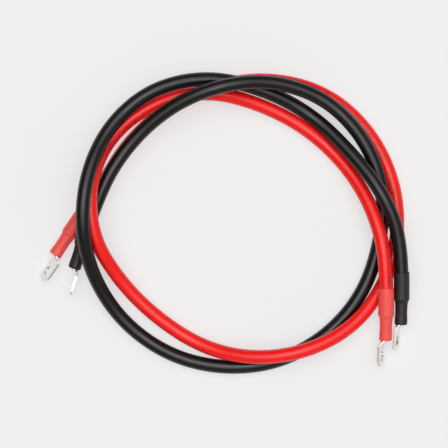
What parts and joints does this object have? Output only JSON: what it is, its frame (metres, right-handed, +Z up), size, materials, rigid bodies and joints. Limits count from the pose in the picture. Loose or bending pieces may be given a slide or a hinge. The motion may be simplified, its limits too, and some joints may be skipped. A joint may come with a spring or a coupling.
{
  "type": "battery cable pair with ring lugs",
  "caption": "Red and black heavy flexible battery cables, each with a crimped tinned ring lug and a shrunk sleeve at both ends, lying in a loose double loop.",
  "frame": {"origin": "bottom centre of the pair's bounding box, on the surface the cables lie on", "axes": "+Z up from the surface; the open middle of the loop is at the origin and all four lugs point towards -Y"},
  "size_m": [0.3629, 0.2965, 0.057],
  "materials": {
    "red_jacket": "smooth glossy PVC",
    "black_jacket": "smooth glossy PVC",
    "red_sleeve": "satin shrunk polyolefin",
    "black_sleeve": "satin shrunk polyolefin",
    "tinned_copper": "tin plating, bright and slightly dull",
    "copper_wire": "bright fine bunched copper wire",
    "paper_wrap": "thin matte separator paper",
    "adhesive": "translucent hot-melt adhesive"
  },
  "bodies": {
    "root": {"red_jacket": "red_jacket", "red_wrap": "paper_wrap", "red_core_bunch": "copper_wire", "red_outer_bunches": "copper_wire", "red_right_lug": "tinned_copper", "red_right_sleeve": "red_sleeve", "red_right_liner": "adhesive", "red_left_lug": "tinned_copper", "red_left_sleeve": "red_sleeve", "red_left_liner": "adhesive", "black_jacket": "black_jacket", "black_wrap": "paper_wrap", "black_core_bunch": "copper_wire", "black_outer_bunches": "copper_wire", "black_right_lug": "tinned_copper", "black_right_sleeve": "black_sleeve", "black_right_liner": "adhesive", "black_left_lug": "tinned_copper", "black_left_sleeve": "black_sleeve", "black_left_liner": "adhesive"}
  },
  "joints": []
}
